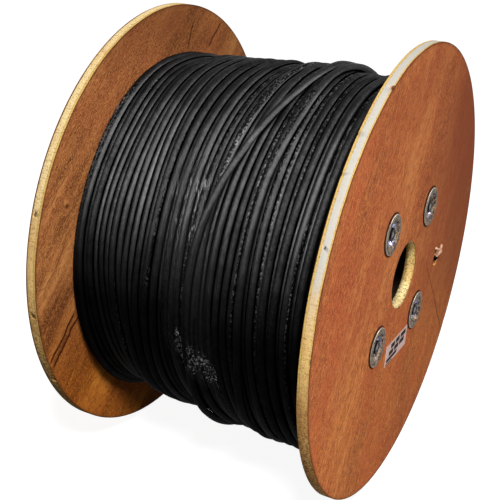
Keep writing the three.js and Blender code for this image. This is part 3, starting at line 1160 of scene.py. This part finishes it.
def make_winding():
    """The deep turns, then wide-pitched ones, others in the valleys between them, and the last."""
    make_deep_turns()
    laid = Laid()
    helix = layer_places(pitch=1.8, looseness=0.25, seed=3)
    under = strayed(helix, START_TURN, seed=3)
    make_run(laid, "cable_under_turns", under, START_TURN, LIT_UNDER_JACKET, ripple=0.4)
    nested = [
        (low + high) / 2 + 0.12 * CABLE_DIAMETER * wobble(i / STEPS * 1.7, 8)
        for i, (low, high) in enumerate(zip(under, under[STEPS:]))
    ]
    make_run(laid, "cable_outer_turns", nested, START_TURN, JACKET)
    for number, route in enumerate(LAST_TURNS):
        led = laid.settled(routed_places(route), route[0][0])
        make_run(laid, f"cable_last_turn_{number + 1}", led, route[0][0], JACKET)
    return laid


# -------------------- film, label and inner end

# The film's width along the drum and its run in degrees, where its middle starts and how far
# it skews along the drum in its run.
FILM_WIDTH = 46 * MM
FILM_RUN = 72
FILM_START_X = -8 * MM
FILM_START_ANGLE = 130
FILM_SKEW = 14 * MM
FILM_THICKNESS = 0.08 * MM


def make_film(laid):
    """Clear film that holds the last turns, bridging from crest to crest and crinkled at its ends."""
    shape = bmesh.new()
    bmesh.ops.create_grid(shape, x_segments=60, y_segments=120, size=0.5)
    for vert in shape.verts:
        run = vert.co.y + 0.5
        x = FILM_START_X + FILM_SKEW * run + FILM_WIDTH * vert.co.x
        torn = 0.16 * (vert.co.x + 0.5) + 0.03 * wobble(vert.co.x * 9, 21)
        degrees = FILM_START_ANGLE + FILM_RUN * run * (0.84 + torn)
        slot = int(degrees * STEPS / 360) % STEPS
        near = [laid.surface(x + shift * MM, slot) for shift in (-3, -1.5, 0, 1.5, 3)]
        lift = 0.35 + 0.35 * wobble(x * 160, 23 + run * 3)
        end = max(eased(1 - run / 0.25), eased((run - 0.7) / 0.3))
        lift += end * 0.9 * (0.6 + wobble(x * 420 + run * 11, 31 + run * 17))
        radius = (sum(near) + max(near) * 3) / 8 + max(lift, 0.15) * MM
        vert.co = on_circle(radius, degrees, x)
    for _ in range(2):
        bmesh.ops.smooth_vert(
            shape, verts=shape.verts, factor=0.5,
            use_axis_x=True, use_axis_y=True, use_axis_z=True,
        )
    bmesh.ops.recalc_face_normals(shape, faces=shape.faces)
    piece = new_piece("clear_film", mesh_from(shape, "clear_film"), FILM)
    modify(piece, "SOLIDIFY", thickness=FILM_THICKNESS, offset=1)
    piece.data.shade_smooth()
    piece.visible_shadow = False
    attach(piece, "root")


# The inner end's run through the start hole in millimetres: x, then y and z from the axis.
INNER_END_ROUTE = (
    (106, 86, -34), (110, 87, -33), (114, 88, -31.4), (117.4, 88.6, -29), (119.4, 89, -25.8),
)
# Where each cut conductor's tip stands.
CORE_TIPS = ((120.6, 83.0, -15.5), (121.6, 88.5, -18.5), (121.8, 95.5, -17.5), (121.0, 97.5, -25.0))
CORE_RADIUS = 1.15 * MM
CORE_RING_RADIUS = 1.35 * MM


def smooth_run(stations, count):
    """Points on a smooth curve through a few stations."""
    points = []
    ends = [stations[0]] + list(stations) + [stations[-1]]
    for i in range(count + 1):
        share = i / count * (len(stations) - 1)
        leg = min(int(share), len(stations) - 2)
        t = share - leg
        p0, p1, p2, p3 = (Vector(p) for p in ends[leg:leg + 4])
        point = p1 * 2 + (p2 - p0) * t + (p0 * 2 - p1 * 5 + p2 * 4 - p3) * t * t
        point += (p1 * 3 - p0 - p2 * 3 + p3) * t ** 3
        points.append(point / 2)
    return points


def make_inner_end():
    """The cable's inner end, out through the start hole and cut, with its conductors splayed."""
    stations = [Vector(station) * MM + DRUM_MIDDLE for station in INNER_END_ROUTE]
    jacket = tube("cable_inner_end_jacket", smooth_run(stations, 32), CABLE_RADIUS, 24, JACKET)
    jacket.data.shade_smooth()
    ride_root(jacket, "cable_jacket", "cable_inner_end")
    axis = (stations[-1] - stations[-2]).normalized()
    side = axis.cross(Vector((1, 0, 0))).normalized()
    other = axis.cross(side)
    for i, tip in enumerate(CORE_TIPS):
        turn = math.radians(45 + i * 360 / len(CORE_TIPS))
        ring = (side * math.cos(turn) + other * math.sin(turn)) * CORE_RING_RADIUS
        tip = Vector(tip) * MM + DRUM_MIDDLE
        root = stations[-1] + ring - axis * (2 * MM)
        neck = stations[-1] + ring + axis * (2.4 * MM)
        knee = neck.lerp(tip, 0.5) + ring * 0.5
        run = smooth_run([root, neck, knee, tip], 18)
        core = tube(f"conductor_{i + 1}", run, CORE_RADIUS, 16, CORE)
        core.data.shade_smooth()
        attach(core, "root")


def make_label():
    shape = bmesh.new()
    bmesh.ops.create_grid(shape, x_segments=28, y_segments=10, size=0.5)
    bmesh.ops.scale(shape, vec=(*LABEL_SIZE, 1), verts=shape.verts)
    upright = Matrix(((0, 0, 1, 0), (1, 0, 0, 0), (0, 1, 0, 0), (0, 0, 0, 1)))
    tilt = Matrix.Rotation(math.radians(LABEL_TILT), 4, "X")
    place = Matrix.Translation((OUTER_FACE + LABEL_LIFT, LABEL_PLACE[0], AXIS_Z + LABEL_PLACE[1]))
    bmesh.ops.transform(shape, matrix=place @ tilt @ upright, verts=shape.verts)
    piece = new_piece("paper_label", mesh_from(shape, "paper_label"), LABEL)
    modify(piece, "SOLIDIFY", thickness=LABEL_THICKNESS)
    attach(piece, "root")
    return piece


# -------------------- making the drum

make_flange(-1, VENEER_LEFT)
right_flange = make_flange(1, VENEER_RIGHT)
for index, angle in enumerate(ROD_ANGLES):
    make_rod(index + 1, angle)
    for side in (-1, 1):
        make_washer(side, index + 1, angle)
        make_nut(side, index + 1, angle)
make_film(make_winding())
make_inner_end()
label = make_label()
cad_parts["barrel"].data.materials.clear()
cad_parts["barrel"].data.materials.append(BOARD)


# -------------------- floor, light and world

FLOOR_HALF = 6
# The floor's paint as the drum sees it and as the camera does.
FLOOR_PAINTS = (srgb(86, 86, 86), srgb(150, 150, 150))
FLOOR_GLOW = 0.92
SKY_LIGHT = 0.06
WHITE = (1, 1, 1, 1)


class Sky(Finish):
    """The world's shader, written in the same way as a material."""

    def __init__(self, world):
        self.tree = world.node_tree
        self.surface = self.tree.nodes["Background"]


def seen_rays(finish):
    """1 for the camera's rays, and 1 for all that show a thing, also mirrored or through glass."""
    rays = finish.outputs("ShaderNodeLightPath", {})
    camera = rays["Is Camera Ray"]
    seen = finish.math("MAXIMUM", camera, rays["Is Glossy Ray"])
    return camera, finish.math("MAXIMUM", seen, rays["Is Transmission Ray"])


def make_floor():
    """A pale floor that shows white, keeps the drum's shadow and throws little light back."""
    shape = bmesh.new()
    bmesh.ops.create_grid(shape, x_segments=1, y_segments=1, size=FLOOR_HALF)
    finish = Finish("studio_floor")
    camera, seen = seen_rays(finish)
    paint = finish.mix(camera, *FLOOR_PAINTS)
    diffuse = finish.node("ShaderNodeBsdfDiffuse", {"Color": paint})
    glow = finish.node("ShaderNodeEmission", {"Color": WHITE, "Strength": seen * FLOOR_GLOW})
    finish.show(finish.node("ShaderNodeAddShader", {0: diffuse, 1: glow}))
    finish.tree.nodes.remove(finish.surface)
    floor = new_piece("studio_floor", mesh_from(shape, "studio_floor"), finish.material)


def make_world():
    """White where it is seen, also in a reflection, and only a faint light on the drum."""
    world = bpy.data.worlds.new("studio")
    world.use_nodes = True
    bpy.context.scene.world = world
    sky = Sky(world)
    _, seen = seen_rays(sky)
    sky.connect(sky.surface, {"Color": WHITE, "Strength": sky.math("MAXIMUM", seen, SKY_LIGHT)})


def make_lamp(name, rays, place, target, size, power, lit):
    """A lamp that gives only diffuse or only glossy light."""
    data = bpy.data.lights.new(name, "AREA")
    data.shape = "RECTANGLE"
    data.size, data.size_y = size
    data.energy = power
    lamp = bpy.data.objects.new(name, data)
    lamp.visible_diffuse = rays == "diffuse"
    lamp.visible_glossy = rays == "glossy"
    lamp.visible_camera = False
    if lit:
        group = bpy.data.collections.new(name)
        for piece in lit:
            group.objects.link(piece)
        lamp.light_linking.receiver_collection = group
    aim = (Vector(target) - Vector(place)).to_track_quat("-Z", "Y")
    lamp.matrix_world = Matrix.Translation(place) @ aim.to_matrix().to_4x4()
    bpy.context.scene.collection.objects.link(lamp)


# Each lamp's name, kind of light, place, target, size, power in watts, and the pieces that it
# lights, which are all of them when the list is empty.
LAMPS = (
    ("key", "diffuse", (0.6, -0.88, 1.55), DRUM_MIDDLE, (0.4, 0.4), 51, []),
    ("back", "diffuse", (-1.3, 1.0, 0.8), DRUM_MIDDLE, (0.7, 0.7), 34, sum(SLOTTED.values(), [])),
    ("side", "diffuse", (1.05, -0.95, 0.25), (0.12, 0, 0.12), (0.7, 0.7), 10.5, [right_flange, label]),
    ("sheen", "glossy", (0.6, -0.2, 1.55), (0.3, 0, 0.19), (6, 1.35), 1060, SLOTTED["cable_jacket"]),
    ("glint", "glossy", (1.33, 0.88, 1.4), (0.12, 0, 0.2), (0.5, 0.5), 55, SLOTTED["zinc_steel"]),
)

make_floor()
make_world()
for lamp in LAMPS:
    make_lamp(*lamp)
bpy.context.scene.view_settings.view_transform = "Standard"
